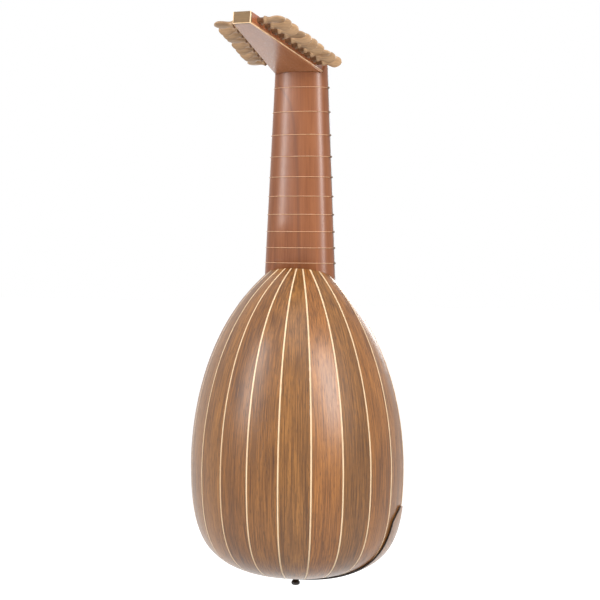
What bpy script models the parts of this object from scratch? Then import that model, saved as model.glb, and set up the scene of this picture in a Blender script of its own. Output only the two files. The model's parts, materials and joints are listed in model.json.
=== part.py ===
"""A ten-course renaissance lute, in metres, standing upright: +Z runs up the neck, +Y out of the bowl's back.

The bowl has eleven ribs with pale spacers between them. The pegbox bends back from the nut and carries
nineteen pegs, ten on the bass side (-X) and nine on the treble side (+X). Shapes are worked out in the
lute's own frame,
whose origin is where the strings cross the nut's lower edge, on the soundboard's front face. One parent empty
then moves the whole lute, so that the world's origin is where a hanger holds the pegbox.
"""

import math

import bmesh
import bpy
from mathutils import Vector

# Clearance between pieces that touch
GAP = 0.0003

# Strings, frets and neck
STRING_LENGTH = 0.630
FRETS = 10
NECK_PAST_LAST_FRET = 0.0260
NUT_HALF_WIDTH = 0.0374
JOINT_HALF_WIDTH = 0.0515
NUT_DEPTH = 0.0244
JOINT_DEPTH = 0.0285
NECK_SQUARENESS = 2.4
JOINT_SLOPE = 0.65
FINGERBOARD_THICKNESS = 0.0021
NUT_RISE = 0.0018
NUT_LENGTH = 0.0039
NUT_SEAT = 0.0037
FRET_THICKNESS = 0.0009

# Bowl, with its lengths measured down from the neck's joint
BOWL_HALF_WIDTH = 0.1517
BOWL_WIDEST_PLACE = 0.2561
BOWL_LENGTH = 0.4090
EDGE_SHOULDER_OUT = 0.0815
EDGE_SHOULDER_DOWN = 0.0748
RIDGE_SHOULDER_OUT = 0.0957
RIDGE_SHOULDER_DOWN = 0.0518
EDGE_FLANK = 0.0709
RIDGE_FLANK = 0.0973
LOWER_FLANK = 0.1130
END_ROUNDING = 0.1260
RIBS = 11
RIB_THICKNESS = 0.0016
RIB_END_RADIUS = 0.0145
SPACER_WIDTH = 0.0020

# Soundboard, rose, bars and blocks, with their places below the neck's joint
SOUNDBOARD_THICKNESS = 0.0018
ROSE_PLACE = 0.1526
ROSE_RADIUS = 0.049
BAR_FROM_ROSE = 0.014
LAST_BAR_FROM_END = 0.058
BAR_HEIGHT = 0.014
BAR_THICKNESS = 0.005
NECK_BLOCK_SHARE = 0.22
END_BLOCK_RADIUS = 0.042
END_BLOCK_HEIGHT = 0.014
BLOCK_CLEARANCE = 0.0008

# End clasp and button
CLASP_THICKNESS = 0.0016
CLASP_CLEARANCE = 0.0006
CLASP_REACH = 0.1054
CLASP_SIDE_HEIGHT = 0.031
CLASP_MIDDLE_HEIGHT = 0.046
CLASP_CORNER = 0.024
BUTTON_LENGTH = 0.0148
BUTTON_RADIUS = 0.0066
BUTTON_OFFSET = 0.0085

# Bridge
BRIDGE_HALF_LENGTH = 0.088
BRIDGE_BODY_HALF = 0.0725
BRIDGE_HEIGHT = 0.0085
BRIDGE_DEPTH = 0.012
BRIDGE_TIP_HEIGHT = 0.003
BRIDGE_TIP_DEPTH = 0.006

# Pegbox: the back plate's lower corner at the neck, then sizes along and across the box
BOX_ROOT_BACK = 0.0137
BOX_ROOT_DOWN = 0.0162
BOX_LENGTH = 0.222
BOX_TILT = math.radians(8.2)
BOX_ROOT_HALF = 0.0335
BOX_TIP_HALF = 0.0111
PLATE_THICKNESS = 0.003
CHEEK_THICKNESS = 0.0042
CHEEK_TIP_HEIGHT = 0.0145
CHEEK_TOP_AT_NUT = 0.0006
CAP_THICKNESS = 0.004
HANGER_REACH = 0.030

# Pegs
BASS_PEGS = 10
TREBLE_PEGS = 9
PEG_FROM_TIP = 0.0214
PEG_FROM_ROOT = 0.01835
PEG_HEIGHT = 0.0098
PEG_SHAFT_RADIUS = 0.0036
PEG_TIP_RADIUS = 0.0030
PEG_TIP_OUT = 0.0016
PEG_SIDES = 12
PEG_COLLAR_OUT = 0.0080
PEG_COLLAR_RADIUS = 0.0052
PEG_HEAD_HALF_WIDTH = 0.0082
PEG_HEAD_HALF_THICKNESS = 0.0031
PEG_TOTAL_OUT = 0.0345
BASS_TURNS = (20, 78, 68, 25, 74, 82, 58, 24, 70, 84)
TREBLE_TURNS = (22, 68, 58, 18, 56, 64, 72, 30, 12)

# Strings
COURSES = 10
STRING_THICKNESS = 0.0009
NUT_BAND_HALF = 0.0318
BRIDGE_BAND_HALF = 0.0645
NUT_PAIR = 0.0030
BRIDGE_PAIR = 0.0048
BRIDGE_ACTION = 0.0058


# Places below the nut that follow from the sizes above
NECK_LENGTH = STRING_LENGTH * (1 - 2 ** (-FRETS / 12)) + NECK_PAST_LAST_FRET
BOWL_WIDEST = NECK_LENGTH + BOWL_WIDEST_PLACE
BOWL_END = NECK_LENGTH + BOWL_LENGTH
ROSE_CENTRE = NECK_LENGTH + ROSE_PLACE

# Distance between pegs of one side, and where ribs and blocks stop behind the two boards
PEG_PITCH = (BOX_LENGTH - PEG_FROM_TIP - PEG_FROM_ROOT) / (BASS_PEGS - 1)
BOARD_BACK = max(SOUNDBOARD_THICKNESS, FINGERBOARD_THICKNESS) + GAP


def clear_scene():
    for obj in list(bpy.data.objects):
        bpy.data.objects.remove(obj)


def make_material(name, colour, roughness, metallic=0.0):
    material = bpy.data.materials.new(name)
    material.use_nodes = True
    shader = material.node_tree.nodes["Principled BSDF"]
    shader.inputs["Base Color"].default_value = (*colour, 1.0)
    shader.inputs["Roughness"].default_value = roughness
    shader.inputs["Metallic"].default_value = metallic
    material.diffuse_color = (*colour, 1.0)
    return material


def hanger_point():
    """Where a hanger's fork meets the pegbox's back plate, in the lute's frame."""
    return box_point(0.0, HANGER_REACH, 0.0)


def add_to_lute(obj, material, place=(0, 0, 0)):
    bpy.context.scene.collection.objects.link(obj)
    obj.location = place
    obj.parent = bpy.data.objects["lute"]
    obj.data.materials.append(material)
    return obj


def mesh_piece(name, points, faces, material, place=(0, 0, 0)):
    """One closed solid from points and faces, with its faces turned outwards and round stretches smooth."""
    mesh = bpy.data.meshes.new(name)
    shape = bmesh.new()
    corners = [shape.verts.new(point) for point in points]
    for face in faces:
        shape.faces.new([corners[index] for index in face])
    bmesh.ops.recalc_face_normals(shape, faces=shape.faces)
    shape.to_mesh(mesh)
    shape.free()
    mesh.shade_smooth()
    mesh.set_sharp_from_angle(angle=math.radians(35))
    return add_to_lute(bpy.data.objects.new(name, mesh), material, place)


def loft(name, rings, material, place=(0, 0, 0)):
    """A solid through closed rings of equally many points, with a flat face at each end."""
    count = len(rings[0])
    points = [point for ring in rings for point in ring]
    faces = [list(range(count)), list(range(len(points) - count, len(points)))]
    for start in range(0, len(points) - count, count):
        for index in range(count):
            after = (index + 1) % count
            faces.append([start + index, start + after, start + count + after, start + count + index])
    return mesh_piece(name, points, faces, material, place)


def shell(name, outer, inner, material):
    """A curved board between two matching grids of points."""
    rows, columns = len(outer), len(outer[0])
    points = [point for grid in (outer, inner) for row in grid for point in row]
    other = rows * columns
    faces = []
    for row in range(rows - 1):
        for column in range(columns - 1):
            corner = row * columns + column
            quad = [corner, corner + 1, corner + columns + 1, corner + columns]
            faces.append(quad)
            faces.append([other + index for index in reversed(quad)])
    rim = list(range(columns))
    rim += [row * columns + columns - 1 for row in range(1, rows)]
    rim += [(rows - 1) * columns + column for column in range(columns - 2, -1, -1)]
    rim += [row * columns for row in range(rows - 2, 0, -1)]
    for one, two in zip(rim, rim[1:] + rim[:1]):
        faces.append([two, one, other + one, other + two])
    return mesh_piece(name, points, faces, material)


def plate_curve(name, outlines, thickness, material):
    """A flat board in the XZ plane with holes: its front lies at Y = 0 and the outlines hold (X, Z) points."""
    curve = bpy.data.curves.new(name, "CURVE")
    curve.dimensions = "2D"
    curve.fill_mode = "BOTH"
    curve.extrude = thickness / 2
    for outline in outlines:
        spline = curve.splines.new("POLY")
        spline.points.add(len(outline) - 1)
        for point, (x, z) in zip(spline.points, outline):
            point.co = (x, z, 0, 1)
        spline.use_cyclic_u = True
    board = add_to_lute(bpy.data.objects.new(name, curve), material, (0, thickness / 2, 0))
    board.rotation_euler = (math.pi / 2, 0, 0)
    return board


# Neck


def neck_half_width(drop):
    return NUT_HALF_WIDTH + (JOINT_HALF_WIDTH - NUT_HALF_WIDTH) * drop / NECK_LENGTH


def neck_depth(drop):
    return NUT_DEPTH + (JOINT_DEPTH - NUT_DEPTH) * drop / NECK_LENGTH


def neck_side(share, drop):
    """The neck's half width where the back has curved to this share of its depth."""
    return neck_half_width(drop) * (1 - share**NECK_SQUARENESS) ** (1 / NECK_SQUARENESS)


def fret_drop(number):
    return STRING_LENGTH * (1 - 2 ** (-number / 12))


def neck_top(back):
    """Height of the neck's upper end: level under the nut, then a notch that takes the pegbox."""
    seat = NUT_SEAT + GAP
    if back <= seat:
        return 0.0
    if back <= BOX_ROOT_BACK:
        return -BOX_ROOT_DOWN * (back - seat) / (BOX_ROOT_BACK - seat)
    return -BOX_ROOT_DOWN + (back - BOX_ROOT_BACK) * math.tan(BOX_TILT)


def neck_bottom(back):
    """Height of the neck's lower end, which slopes where it meets the bowl."""
    return -NECK_LENGTH + JOINT_SLOPE * back + GAP


def make_neck(material):
    front = FINGERBOARD_THICKNESS + GAP
    seat = (NUT_SEAT + GAP) / NUT_DEPTH
    root = BOX_ROOT_BACK / neck_depth(BOX_ROOT_DOWN)
    shares = [front / NUT_DEPTH, seat, (seat + root) / 2, root]
    shares += [root + (1 - root) * step for step in (0.32, 0.56, 0.74, 0.87, 0.955, 1.0)]
    rings = []
    for end in (neck_top, neck_bottom):
        side = []
        for share in shares:
            back = front
            if share != shares[0]:
                for _ in range(8):
                    back = share * neck_depth(-end(back))
            side.append(Vector((neck_side(share, -end(back)), back, end(back))))
        ring = side + [Vector((-point.x, point.y, point.z)) for point in reversed(side[:-1])]
        rings.append(ring)
    count = len(rings[0])
    points = rings[0] + rings[1]
    faces = []
    for index in range(count):
        after = (index + 1) % count
        faces.append([index, after, count + after, count + index])
    for start in (0, count):
        for low in range(len(shares) - 2):
            high = count - 1 - low
            faces.append([start + low, start + low + 1, start + high - 1, start + high])
        middle = len(shares) - 1
        faces.append([start + middle - 1, start + middle, start + middle + 1])
    return mesh_piece("neck", points, faces, material)


def make_fingerboard(material):
    rings = []
    for drop in (0.0, NECK_LENGTH - GAP):
        half = neck_half_width(drop)
        corners = ((-half, 0), (half, 0), (half, FINGERBOARD_THICKNESS), (-half, FINGERBOARD_THICKNESS))
        rings.append([(x, y, -drop) for x, y in corners])
    return loft("fingerboard", rings, material)


def make_nut(material):
    half = NUT_HALF_WIDTH - GAP
    rings = []
    for share, rise in ((0.0, NUT_RISE), (0.7, NUT_RISE), (1.0, NUT_RISE * 0.5)):
        height = GAP + NUT_LENGTH * share
        corners = ((-half, -rise), (half, -rise), (half, NUT_SEAT), (-half, NUT_SEAT))
        rings.append([(x, y, height) for x, y in corners])
    return loft("nut", rings, material)


def make_fret(number, material):
    """A loop of gut round the neck and fingerboard, of square section here."""
    drop = fret_drop(number)
    half, depth = neck_half_width(drop), neck_depth(drop)
    path = [(half, 0.0), (half, FINGERBOARD_THICKNESS)]
    for share in (0.3, 0.5, 0.68, 0.82, 0.91, 0.97):
        path.append((neck_side(share, drop), share * depth))
    path.append((0.0, depth))
    path += [(-x, y) for x, y in reversed(path[:-1])]
    count = len(path)
    rings = []
    for index, (x, y) in enumerate(path):
        before, after = path[index - 1], path[(index + 1) % count]
        one = Vector((x - before[0], y - before[1])).normalized()
        two = Vector((after[0] - x, after[1] - y)).normalized()
        along = (one + two).normalized()
        out = Vector((along.y, -along.x))
        stretch = 1 / max(out.dot(Vector((one.y, -one.x))), 0.5)
        ring = []
        for reach, lift in ((0, -0.5), (1, -0.5), (1, 0.5), (0, 0.5)):
            offset = (GAP + reach * FRET_THICKNESS) * stretch
            ring.append((x + out.x * offset, y + out.y * offset, -drop + lift * FRET_THICKNESS))
        rings.append(ring)
    points = [point for ring in rings for point in ring]
    faces = []
    for start in range(count):
        after = (start + 1) % count
        for corner in range(4):
            side = (corner + 1) % 4
            faces.append([start * 4 + corner, start * 4 + side, after * 4 + side, after * 4 + corner])
    return mesh_piece(f"fret_{number:02d}", points, faces, material)


# Bowl


def bezier(start, leave, arrive, end, share):
    rest = 1 - share
    return rest**3 * start + 3 * rest**2 * share * leave + 3 * rest * share**2 * arrive + share**3 * end


def bowl_profile(angle, along):
    """Distance from the middle axis and drop below the nut of the bowl's outer face.

    The angle turns from the treble edge of the soundboard, 0, over the ridge to the bass edge. Along runs from
    0 at the neck to 1 at the widest place and 2 at the end.
    """
    across, back = abs(math.cos(angle)), math.sin(angle)
    if along <= 1:
        power = NECK_SQUARENESS
        start = ((across / JOINT_HALF_WIDTH) ** power + (back / JOINT_DEPTH) ** power) ** (-1 / power)
        start_drop = NECK_LENGTH - JOINT_SLOPE * start * back
        ridge = back**2
        out = EDGE_SHOULDER_OUT + (RIDGE_SHOULDER_OUT - EDGE_SHOULDER_OUT) * ridge
        down = EDGE_SHOULDER_DOWN + (RIDGE_SHOULDER_DOWN - EDGE_SHOULDER_DOWN) * ridge
        flank = EDGE_FLANK + (RIDGE_FLANK - EDGE_FLANK) * ridge
        radius = bezier(start, start + out, BOWL_HALF_WIDTH, BOWL_HALF_WIDTH, along)
        drop = bezier(start_drop, start_drop + down, BOWL_WIDEST - flank, BOWL_WIDEST, along)
        return radius, drop
    share = along - 1
    radius = bezier(BOWL_HALF_WIDTH, BOWL_HALF_WIDTH, END_ROUNDING, 0.0, share)
    drop = bezier(BOWL_WIDEST, BOWL_WIDEST + LOWER_FLANK, BOWL_END, BOWL_END, share)
    return radius, drop


def bowl_point(angle, along, inset=0.0):
    """A point of the bowl's outer face, or inset under it along the face's own direction."""
    radius, drop = bowl_profile(angle, along)
    point = Vector((radius * math.cos(angle), radius * math.sin(angle), -drop))
    if not inset:
        return point
    step = 1e-4
    low, high = max(along - step, 0.0), min(along + step, 2.0)
    first, last = bowl_profile(angle, low), bowl_profile(angle, high)
    outward = (last[1] - first[1], last[0] - first[0])
    length = math.hypot(*outward)
    direction = Vector((
        outward[0] / length * math.cos(angle),
        outward[0] / length * math.sin(angle),
        outward[1] / length,
    ))
    return point - direction * inset


def along_at_radius(radius):
    """Where the lower curve has come in to this distance from the middle axis."""
    low, high = 1.0, 2.0
    for _ in range(40):
        middle = (low + high) / 2
        if bowl_profile(0.0, middle)[0] > radius:
            low = middle
        else:
            high = middle
    return low


def half_width_at(drop, inset=0.0):
    """Half width of the bowl at the soundboard, or of the space inside it, at a drop below the nut."""
    low, high = 0.0, 2.0
    for _ in range(40):
        middle = (low + high) / 2
        if -bowl_point(0.0, middle, inset).z < drop:
            low = middle
        else:
            high = middle
    return bowl_point(0.0, low, inset).x


def stations(end, upper=11, lower=11):
    values = [step / upper for step in range(upper + 1)]
    return values + [1 + (end - 1) * step / lower for step in range(1, lower + 1)]


def clear_angle(boundary, along, margin):
    """An angle moved from a boundary plane by a distance, so that an edge runs alongside that plane."""
    radius = bowl_profile(boundary, along)[0]
    return boundary + math.asin(margin / radius)


def make_ribs(material):
    step = math.pi / RIBS
    beside_spacer = SPACER_WIDTH / 2 + GAP
    for number in range(RIBS):
        outer, inner = [], []
        for along in stations(along_at_radius(RIB_END_RADIUS)):
            low = clear_angle(number * step, along, BOARD_BACK if number == 0 else beside_spacer)
            last = number == RIBS - 1
            high = clear_angle((number + 1) * step, along, -(BOARD_BACK if last else beside_spacer))
            angles = (low, (low + high) / 2, high)
            outer.append([bowl_point(angle, along) for angle in angles])
            inner.append([bowl_point(angle, along, RIB_THICKNESS) for angle in angles])
        shell(f"rib_{number + 1:02d}", outer, inner, material)


def make_spacers(material):
    """The ten pale strips between the ribs, which run together in a small fan at the bowl's end."""
    rows = stations(along_at_radius(RIB_END_RADIUS - GAP))
    points, faces, rim = [], [], []
    for number in range(1, RIBS):
        boundary = number * math.pi / RIBS
        start = len(points)
        for along in rows:
            sides = [clear_angle(boundary, along, side * SPACER_WIDTH / 2) for side in (-1, 1)]
            points += [bowl_point(angle, along) for angle in sides]
            points += [bowl_point(angle, along, RIB_THICKNESS) for angle in reversed(sides)]
        for row in range(len(rows) - 1):
            base = start + row * 4
            for corner in range(4):
                side = (corner + 1) % 4
                faces.append([base + corner, base + side, base + 4 + side, base + 4 + corner])
        faces.append([start, start + 1, start + 2, start + 3])
        end = start + (len(rows) - 1) * 4
        rim += [(end, end + 3), (end + 1, end + 2)]
    faces.append([outer for outer, _ in rim])
    faces.append([inner for _, inner in rim])
    for index in range(1, len(rim), 2):
        one, two = rim[index], rim[(index + 1) % len(rim)]
        faces.append([one[0], two[0], two[1], one[1]])
    return mesh_piece("rib_spacers", points, faces, material)


def block_ring(along, inset, count=13):
    """A ring inside the bowl, flat behind the soundboard."""
    radius = bowl_point(0.0, along, inset).x
    first = math.asin(min(BOARD_BACK / radius, 0.9))
    ring = []
    for index in range(count):
        angle = first + (math.pi - 2 * first) * index / (count - 1)
        point = bowl_point(angle, along, inset)
        ring.append(Vector((point.x, max(point.y, BOARD_BACK), point.z)))
    return ring


def make_neck_block(material):
    """The block that the neck is fixed to: its top lies along the neck's sloping end."""
    inside = RIB_THICKNESS + BLOCK_CLEARANCE
    top = []
    for point, next_point in zip(block_ring(0.0, inside), block_ring(0.03, inside)):
        up = (point - next_point).normalized()
        rise = -NECK_LENGTH - GAP + JOINT_SLOPE * point.y - point.z
        reached = point + up * rise / (up.z - JOINT_SLOPE * up.y)
        top.append(reached)
    lower = [block_ring(NECK_BLOCK_SHARE * step, inside) for step in (0.5, 1.0)]
    return loft("neck_block", [top] + lower, material)


def make_end_block(material):
    rings = []
    for radius in (END_BLOCK_RADIUS, END_BLOCK_RADIUS * 0.66, END_BLOCK_RADIUS * 0.33):
        rings.append(block_ring(along_at_radius(radius), RIB_THICKNESS + BLOCK_CLEARANCE))
    top = [point + Vector((0, 0, END_BLOCK_HEIGHT)) for point in rings[0]]
    return loft("end_block", [top] + rings, material)


def clasp_height(share):
    """Height of the clasp's upper edge off the soundboard: share 0 at an end of the clasp, 1 at the middle."""
    return CLASP_SIDE_HEIGHT + (CLASP_MIDDLE_HEIGHT - CLASP_SIDE_HEIGHT) * math.sin(share * math.pi / 2) ** 2


def clasp_point(along, side, height, lift):
    """A point on the lower bowl, reached from the soundboard's edge by going back and inwards."""
    edge = bowl_point(0.0, along)
    inward = edge - bowl_point(0.0, along, -1.0)
    low, high = -0.004, 0.08
    for _ in range(40):
        reach = (low + high) / 2
        point = edge + inward * reach
        outside = -point.z > BOWL_END or math.hypot(point.x, height) > half_width_at(-point.z)
        if outside:
            low = reach
        else:
            high = reach
    point = edge + inward * low
    on_bowl = Vector((point.x, height, point.z))
    radius = math.hypot(point.x, height)
    station = along_at_radius(radius)
    angle = math.atan2(height, point.x)
    lifted = bowl_point(angle, station, -lift) if station < 1.999 else on_bowl + Vector((0, 0, -lift))
    return Vector((side * lifted.x, lifted.y, lifted.z))


def make_clasp(material):
    start = 1.0
    while bowl_profile(0.0, start)[1] < BOWL_END - CLASP_REACH:
        start += 0.002
    half = [start + (2.0 - start) * (step / 20) ** 0.85 for step in range(20)]
    places = [(along, 1) for along in half] + [(1.9999, 1)] + [(along, -1) for along in reversed(half)]
    first_drop = bowl_profile(0.0, start)[1]
    outside = CLASP_CLEARANCE + CLASP_THICKNESS
    outer, inner = [], []
    for along, side in places:
        share = min((along - start) / (2.0 - start), 1.0)
        corner = min((bowl_profile(0.0, along)[1] - first_drop) / CLASP_CORNER, 1.0)
        rounding = 0.35 + 0.65 * math.sqrt(1 - (1 - corner) ** 2)
        top = clasp_height(share) * rounding
        low = SOUNDBOARD_THICKNESS + GAP
        heights = [low + (top - low) * part for part in (0.0, 0.25, 0.5, 0.75, 1.0)]
        outer.append([clasp_point(along, side, height, outside) for height in heights])
        inner.append([clasp_point(along, side, height, CLASP_CLEARANCE) for height in heights])
    return shell("end_clasp", outer, inner, material)


def make_button(material):
    """The turned button at the lowest point: a foot, a waist and a flat-ended knob."""
    top = -(BOWL_END + CLASP_CLEARANCE + CLASP_THICKNESS + GAP)
    foot = ((0.0, 0.85), (0.16, 0.80), (0.30, 0.52), (0.52, 0.56))
    profile = foot + ((0.68, 0.95), (0.84, 1.0), (0.96, 0.90), (1.0, 0.72))
    rings = []
    for share, width in profile:
        radius = BUTTON_RADIUS * width
        turns = [2 * math.pi * side / 16 for side in range(16)]
        drop = -share * BUTTON_LENGTH
        rings.append([(radius * math.cos(turn), radius * math.sin(turn), drop) for turn in turns])
    return loft("end_button", rings, material, (0, BUTTON_OFFSET, top))


# Soundboard


def make_soundboard(material):
    edge = [bowl_profile(0.0, along) for along in stations(1.97, 14, 16)]
    top = -NECK_LENGTH - GAP
    right = [(radius, min(-drop, top)) for radius, drop in edge]
    outline = right + [(0.0, -BOWL_END)] + [(-x, z) for x, z in reversed(right)]
    turns = [2 * math.pi * side / 48 for side in range(48)]
    hole = [(ROSE_RADIUS * math.sin(turn), -ROSE_CENTRE + ROSE_RADIUS * math.cos(turn)) for turn in turns]
    return plate_curve("soundboard", [outline, hole], SOUNDBOARD_THICKNESS, material)


def make_rose(material):
    """An inset disc pierced with rings of pointed leaves round a six-sided centre."""
    radius = ROSE_RADIUS - GAP
    turns = [2 * math.pi * side / 48 for side in range(48)]
    outlines = [[(radius * math.sin(turn), -ROSE_CENTRE + radius * math.cos(turn)) for turn in turns]]
    middle = [2 * math.pi * side / 6 for side in range(6)]
    size = radius * 0.085
    outlines.append([(size * math.sin(turn), -ROSE_CENTRE + size * math.cos(turn)) for turn in middle])
    circles = ((6, 0.25, 0.10, 0.075), (12, 0.48, 0.10, 0.085), (18, 0.72, 0.10, 0.090))
    for count, distance, length, width in circles:
        for number in range(count):
            turn = 2 * math.pi * (number + 0.5) / count
            leaf = []
            for along, across in ((-1, 0), (-0.3, -1), (0.4, -0.9), (1, 0), (0.4, 0.9), (-0.3, 1)):
                out = radius * (distance + along * length)
                aside = radius * across * width
                x = out * math.sin(turn) + aside * math.cos(turn)
                z = out * math.cos(turn) - aside * math.sin(turn)
                leaf.append((x, -ROSE_CENTRE + z))
            outlines.append(leaf)
    return plate_curve("rose", outlines, SOUNDBOARD_THICKNESS, material)


def make_bars(material):
    front = SOUNDBOARD_THICKNESS + GAP
    back = front + BAR_HEIGHT
    above_rose = ROSE_CENTRE - ROSE_RADIUS - BAR_FROM_ROSE
    below_rose = ROSE_CENTRE + ROSE_RADIUS + BAR_FROM_ROSE
    last = BOWL_END - LAST_BAR_FROM_END
    for number, place in enumerate((above_rose, below_rose, (below_rose + last) / 2, last)):
        ends = (place - BAR_THICKNESS / 2, place + BAR_THICKNESS / 2)
        inside = min(half_width_at(end, RIB_THICKNESS + BLOCK_CLEARANCE) for end in ends)
        low_end = math.sqrt(inside**2 - front**2)
        high_end = math.sqrt(inside**2 - back**2)
        rings = []
        for height in ends:
            corners = ((-low_end, front), (low_end, front), (high_end, back), (-high_end, back))
            rings.append([(x, y, -height) for x, y in corners])
        loft(f"soundboard_bar_{number + 1}", rings, material)


def make_bridge(material):
    rings = []
    places = ((BRIDGE_HALF_LENGTH, 0), (BRIDGE_HALF_LENGTH * 0.94, 0.12), (BRIDGE_BODY_HALF, 0.75),
              (BRIDGE_BODY_HALF * 0.985, 1))
    for x, share in [(-x, share) for x, share in places] + list(reversed(places)):
        height = BRIDGE_TIP_HEIGHT + (BRIDGE_HEIGHT - BRIDGE_TIP_HEIGHT) * share
        depth = BRIDGE_TIP_DEPTH + (BRIDGE_DEPTH - BRIDGE_TIP_DEPTH) * share
        middle = -STRING_LENGTH - BRIDGE_DEPTH / 2
        section = ((0, 0.5), (-0.72, 0.5), (-1, 0.32), (-1, -0.3), (-0.45, -0.5), (0, -0.5))
        rings.append([(x, -GAP + y * height, middle + z * depth) for y, z in section])
    return loft("bridge", rings, material)


# Pegbox


def box_point(x, along, height):
    """A point from its place across, along the pegbox's back plate from the neck, and off the plate's outer face."""
    back = BOX_ROOT_BACK + along * math.cos(BOX_TILT) - height * math.sin(BOX_TILT)
    up = -BOX_ROOT_DOWN + along * math.sin(BOX_TILT) + height * math.cos(BOX_TILT)
    return Vector((x, back, up))


def box_place(back, up):
    """The same place the other way round: along the plate and off it, from a point beside the nut."""
    y, z = back - BOX_ROOT_BACK, up + BOX_ROOT_DOWN
    along = y * math.cos(BOX_TILT) + z * math.sin(BOX_TILT)
    return along, z * math.cos(BOX_TILT) - y * math.sin(BOX_TILT)


def box_half(along):
    return BOX_ROOT_HALF + (BOX_TIP_HALF - BOX_ROOT_HALF) * along / BOX_LENGTH


def seam_place(height):
    """Where the pegbox meets the notch in the neck, at a height off the plate's outer face."""
    seat = NUT_SEAT + GAP
    direction = Vector((BOX_ROOT_BACK - seat, -BOX_ROOT_DOWN)).normalized()
    out = Vector((-direction.y, direction.x)) * GAP
    upper = box_place(seat + out.x, out.y)
    lower = box_place(BOX_ROOT_BACK + out.x, -BOX_ROOT_DOWN + out.y)
    share = (height - lower[1]) / (upper[1] - lower[1])
    return lower[0] + (upper[0] - lower[0]) * share


def make_back_plate(material):
    """The pegbox's back, with a shallow step near the root where it is glued down on the neck's end."""
    far = BOX_LENGTH - CAP_THICKNESS - GAP
    step = (neck_depth(BOX_ROOT_DOWN) - BOX_ROOT_BACK) / math.cos(BOX_TILT) + GAP
    outline = [
        (seam_place(GAP), GAP),
        (step, GAP),
        (step, 0.0),
        (far, 0.0),
        (far, PLATE_THICKNESS),
        (seam_place(PLATE_THICKNESS), PLATE_THICKNESS),
    ]
    rings = []
    for side in (-1, 1):
        rings.append([box_point(side * box_half(along), along, height) for along, height in outline])
    return loft("pegbox_back_plate", rings, material)


def make_end_cap(material):
    rings = []
    for along in (BOX_LENGTH - CAP_THICKNESS, BOX_LENGTH):
        half = box_half(along)
        corners = ((-half, 0), (half, 0), (half, CHEEK_TIP_HEIGHT), (-half, CHEEK_TIP_HEIGHT))
        rings.append([box_point(x, along, height) for x, height in corners])
    return loft("pegbox_end_cap", rings, material)


def peg_places():
    """Each peg: its name, the side it points to, its place along the pegbox and how far its head is turned."""
    first = BOX_LENGTH - PEG_FROM_TIP
    for number in range(BASS_PEGS):
        yield f"bass_peg_{number + 1:02d}", -1, first - number * PEG_PITCH, BASS_TURNS[number]
    for number in range(TREBLE_PEGS):
        yield f"treble_peg_{number + 1:02d}", 1, first - (number + 0.5) * PEG_PITCH, TREBLE_TURNS[number]


def shaft_radius(out, along):
    """Radius of a peg's tapered shaft, by its distance out from its own cheek's outer face."""
    across = 2 * box_half(along) + PEG_TIP_OUT
    return PEG_SHAFT_RADIUS + (PEG_SHAFT_RADIUS - PEG_TIP_RADIUS) * min(out, 0.0) / across


def make_peg_cutter():
    """Tapered holes for all the pegs, cut from both cheeks at once."""
    shape = bmesh.new()
    reach = 2 * CHEEK_THICKNESS
    for _, side, along, _ in peg_places():
        outs = (reach, -2 * box_half(along) - reach)
        rings = []
        for out in outs:
            radius = (shaft_radius(out, along) + GAP) / math.cos(math.pi / PEG_SIDES)
            ring = []
            for turn in [2 * math.pi * index / PEG_SIDES for index in range(PEG_SIDES)]:
                centre = box_point(side * (box_half(along) + out), along, PEG_HEIGHT)
                offset = Vector((0, radius * math.cos(turn), radius * math.sin(turn)))
                ring.append(shape.verts.new(centre + offset))
            rings.append(ring)
        for index in range(PEG_SIDES):
            after = (index + 1) % PEG_SIDES
            shape.faces.new((rings[0][index], rings[0][after], rings[1][after], rings[1][index]))
        shape.faces.new(rings[0])
        shape.faces.new(rings[1])
    bmesh.ops.recalc_face_normals(shape, faces=shape.faces)
    mesh = bpy.data.meshes.new("peg_holes")
    shape.to_mesh(mesh)
    shape.free()
    cutter = bpy.data.objects.new("peg_holes", mesh)
    bpy.context.scene.collection.objects.link(cutter)
    cutter.parent = bpy.data.objects["lute"]
    cutter.hide_render = True
    cutter.display_type = "WIRE"
    return cutter


def make_cheek(name, side, cutter, material):
    low = PLATE_THICKNESS + GAP
    seat = NUT_SEAT + GAP
    far = BOX_LENGTH - CAP_THICKNESS - GAP
    outline = [
        (seam_place(low), low),
        (far, low),
        (far, CHEEK_TIP_HEIGHT),
        box_place(seat + GAP, CHEEK_TOP_AT_NUT),
        box_place(seat + GAP, GAP),
    ]
    rings = []
    for inset in (0.0, CHEEK_THICKNESS):
        ring = [box_point(side * (box_half(along) - inset), along, height) for along, height in outline]
        rings.append(ring)
    cheek = loft(name, rings, material)
    holes = cheek.modifiers.new("peg holes", "BOOLEAN")
    holes.operation = "DIFFERENCE"
    holes.solver = "EXACT"
    holes.object = cutter
    return cheek


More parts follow.
